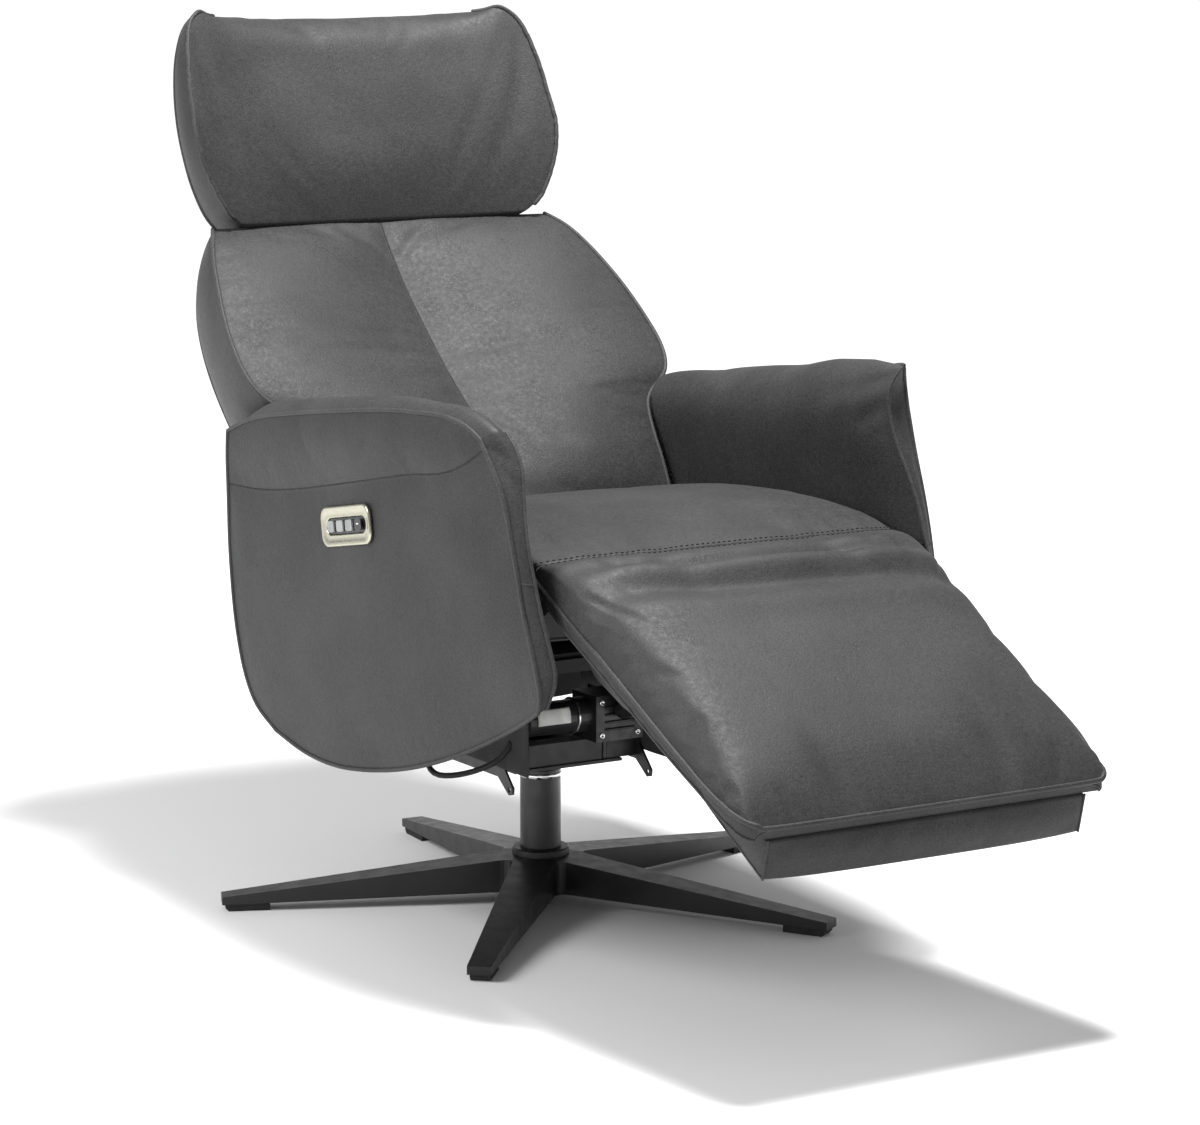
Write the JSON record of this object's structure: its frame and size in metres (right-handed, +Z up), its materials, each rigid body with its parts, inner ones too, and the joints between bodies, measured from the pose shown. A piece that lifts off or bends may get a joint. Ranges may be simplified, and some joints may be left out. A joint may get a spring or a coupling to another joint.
{
  "type": "recliner armchair",
  "caption": "Powered swivel recliner armchair with padded seat, back, head rest and leg rest on a flat five-star base, controls set in one arm.",
  "frame": {"origin": "middle of the chair's footprint on the floor, in the position with the leg rest raised and the back tilted", "axes": "+Z up, -Y the way the sitter faces, +X to the sitter's left; the swivel column's axis stands 9 mm to the -X side and 133 mm behind the origin"},
  "size_m": [0.7476, 1.3582, 1.0685],
  "materials": {
    "upholstery": "matte",
    "base_metal": "satin",
    "black_steel": "satin",
    "bright_steel": "polished",
    "black_plastic": "matte",
    "grey_keys": "satin",
    "nickel_trim": "satin",
    "plywood": "matte",
    "rubber": "matte"
  },
  "bodies": {
    "base": {"star_base": "base_metal", "glide_1": "rubber", "glide_2": "rubber", "glide_3": "rubber", "glide_4": "rubber", "glide_5": "rubber", "column_collar": "base_metal", "column_tube": "base_metal", "column_bearing": "black_plastic"},
    "carriage": {"spindle": "bright_steel", "swivel_plate": "black_steel", "cross_beam_front": "black_steel", "cross_beam_rear": "black_steel", "riser_left": "black_steel", "riser_right": "black_steel", "seat_board": "plywood", "seat_webbing": "black_plastic", "seat_cushion": "upholstery", "front_valance": "upholstery", "seat_side_plate_left": "black_steel", "seat_side_plate_right": "black_steel", "arm_pad_left": "upholstery", "arm_pad_right": "upholstery", "arm_board_left": "plywood", "arm_board_right": "plywood", "arm_panel_left": "upholstery", "arm_panel_right": "upholstery", "arm_spacer_left": "plywood", "arm_spacer_right": "plywood", "control_bezel": "nickel_trim", "control_bed": "black_plastic", "leg_drive_tube": "black_steel", "leg_gearbox": "black_plastic", "leg_motor": "black_plastic", "back_drive_tube": "black_steel", "back_gearbox": "black_plastic", "back_motor": "black_plastic", "control_box": "black_plastic", "motor_cable": "rubber"},
    "leg_rest": {"legrest_cushion": "upholstery", "legrest_board": "plywood", "legrest_box": "upholstery", "legrest_arm_left": "black_steel", "legrest_arm_right": "black_steel", "legrest_fork": "black_steel"},
    "leg_drive": {"leg_drive_rod": "bright_steel"},
    "back_rest": {"back_frame": "plywood", "back_cushion": "upholstery", "back_cover": "upholstery", "back_lever": "black_steel", "headrest_strap_left": "black_steel", "headrest_strap_right": "black_steel"},
    "back_drive": {"back_drive_rod": "bright_steel"},
    "head_rest": {"headrest_frame": "plywood", "headrest_cushion": "upholstery", "headrest_cover": "upholstery"},
    "key_1": {"button_1": "grey_keys"},
    "key_2": {"button_2": "grey_keys"},
    "key_3": {"button_3": "grey_keys"},
    "key_4": {"button_4": "black_plastic"}
  },
  "joints": [
    {"name": "swivel", "type": "hinge", "parent": "base", "child": "carriage", "pos_m": [-0.00923, 0.13293, 0.17], "axis": [0, 0, 1], "continuous": true},
    {"name": "leg_rest_hinge", "type": "hinge", "parent": "carriage", "child": "leg_rest", "pos_m": [-0.00923, -0.29207, 0.47], "axis": [-1, 0, 0], "range_deg": [-58, 24]},
    {"name": "leg_drive_slide", "type": "slide", "parent": "carriage", "child": "leg_drive", "axis": [0, -0.9397, 0.342], "range_m": [-0.094, 0.039]},
    {"name": "back_rest_hinge", "type": "hinge", "parent": "carriage", "child": "back_rest", "pos_m": [-0.00923, 0.23293, 0.43], "axis": [-1, 0, 0], "range_deg": [-25, 12]},
    {"name": "back_drive_slide", "type": "slide", "parent": "carriage", "child": "back_drive", "axis": [0, 1, 0], "range_m": [-0.0222, 0.0456]},
    {"name": "head_rest_hinge", "type": "hinge", "parent": "back_rest", "child": "head_rest", "pos_m": [-0.00923, 0.55093, 0.795], "axis": [-1, 0, 0], "range_deg": [-25, 15]},
    {"name": "key_1_press", "type": "slide", "parent": "carriage", "child": "key_1", "axis": [1, 0, 0], "range_m": [0, 0.0012], "stiffness_N_per_m": 400},
    {"name": "key_2_press", "type": "slide", "parent": "carriage", "child": "key_2", "axis": [1, 0, 0], "range_m": [0, 0.0012], "stiffness_N_per_m": 400},
    {"name": "key_3_press", "type": "slide", "parent": "carriage", "child": "key_3", "axis": [1, 0, 0], "range_m": [0, 0.0012], "stiffness_N_per_m": 400},
    {"name": "key_4_press", "type": "slide", "parent": "carriage", "child": "key_4", "axis": [1, 0, 0], "range_m": [0, 0.0012], "stiffness_N_per_m": 400}
  ],
  "couplings": [
    {"joint": "leg_drive_slide", "follows": "leg_rest_hinge", "m_per_rad": 0.092},
    {"joint": "back_drive_slide", "follows": "back_rest_hinge", "m_per_rad": -0.1032}
  ]
}
